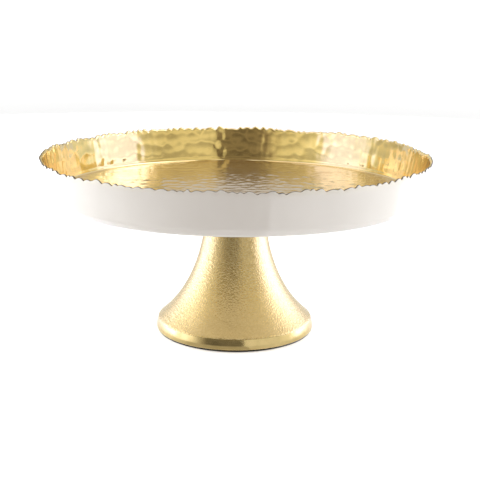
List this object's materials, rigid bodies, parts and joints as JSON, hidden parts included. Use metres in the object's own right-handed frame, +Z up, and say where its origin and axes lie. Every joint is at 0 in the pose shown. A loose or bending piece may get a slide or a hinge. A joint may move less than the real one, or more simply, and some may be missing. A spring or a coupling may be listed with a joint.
{
  "type": "cake stand",
  "caption": "Footed round cake stand: hammered gold-tone tray with an upright torn-edge wall and white enamel outside, bolted to a flared, textured cast pedestal.",
  "frame": {"origin": "on the stand's axis, in the plane of the felt ring that it stands on", "axes": "+Z up along the pedestal's axis; +X and +Y are any two square directions, because the stand is round"},
  "size_m": [0.3048, 0.3048, 0.1427],
  "materials": {
    "tray_gold": "hand-hammered sheet with a polished gold-tone plating, raw dark torn edge",
    "enamel_white": "smooth glossy white baked enamel",
    "cast_gold": "sand-cast pebbled skin with a satin gold-tone plating, smoother foot band",
    "felt_black": "black felt",
    "gasket_fibre": "matte pressed fibre",
    "zinc_steel": "bright zinc plating"
  },
  "bodies": {
    "root": {"tray": "tray_gold", "tray_enamel": "enamel_white", "weld_stud": "zinc_steel", "seat_gasket": "gasket_fibre", "pedestal": "cast_gold", "flat_washer": "zinc_steel", "lock_washer": "zinc_steel", "hex_nut": "zinc_steel", "foot_pad": "felt_black"}
  },
  "joints": []
}
